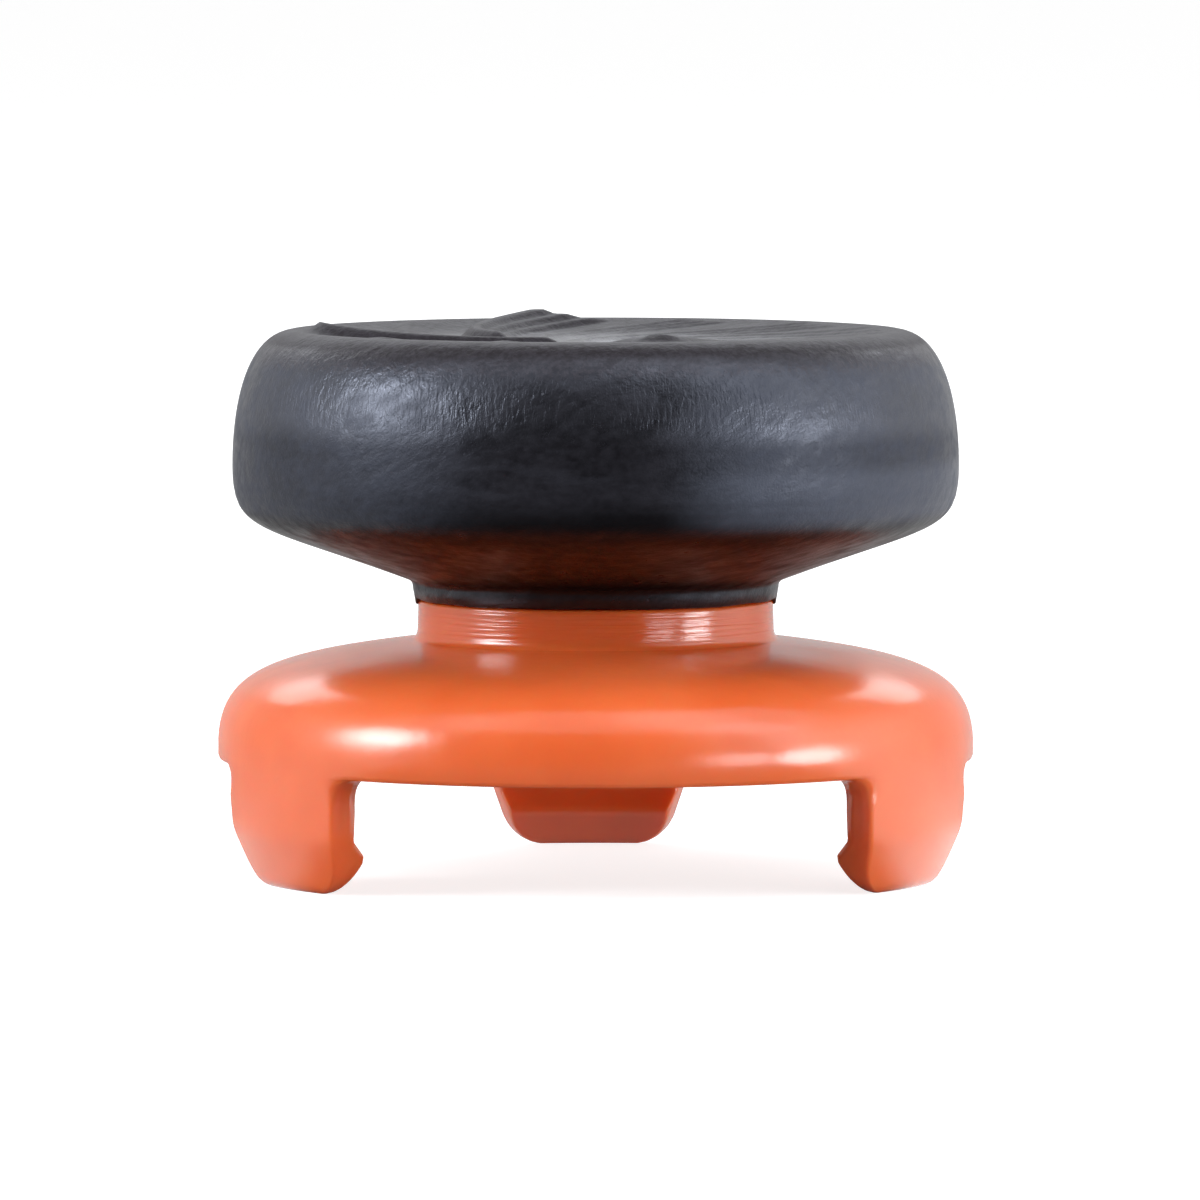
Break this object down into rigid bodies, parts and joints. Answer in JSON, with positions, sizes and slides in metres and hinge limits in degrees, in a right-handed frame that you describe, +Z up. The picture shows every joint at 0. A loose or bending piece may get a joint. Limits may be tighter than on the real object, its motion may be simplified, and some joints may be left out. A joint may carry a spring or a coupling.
{
  "type": "controller thumb grip",
  "caption": "Raised thumb grip: an orange plastic clip with hooked prongs under a thick black rubber head with a curved tread, pressed over the cap of a game controller's thumb stick.",
  "frame": {"origin": "centre of the circle that the three prong tips stand on", "axes": "+Z up the grip's own axis, from the prong tips to the thumb face; -Y towards the middle of one gap between two prongs, +Y towards the third prong"},
  "size_m": [0.021, 0.021, 0.0154],
  "materials": {
    "clip_plastic": "semi-gloss moulded, slightly translucent orange",
    "head_rubber": "matte charcoal rubber with a faint dusty bloom"
  },
  "bodies": {
    "root": {"clip_base": "clip_plastic", "rubber_head": "head_rubber"}
  },
  "joints": []
}
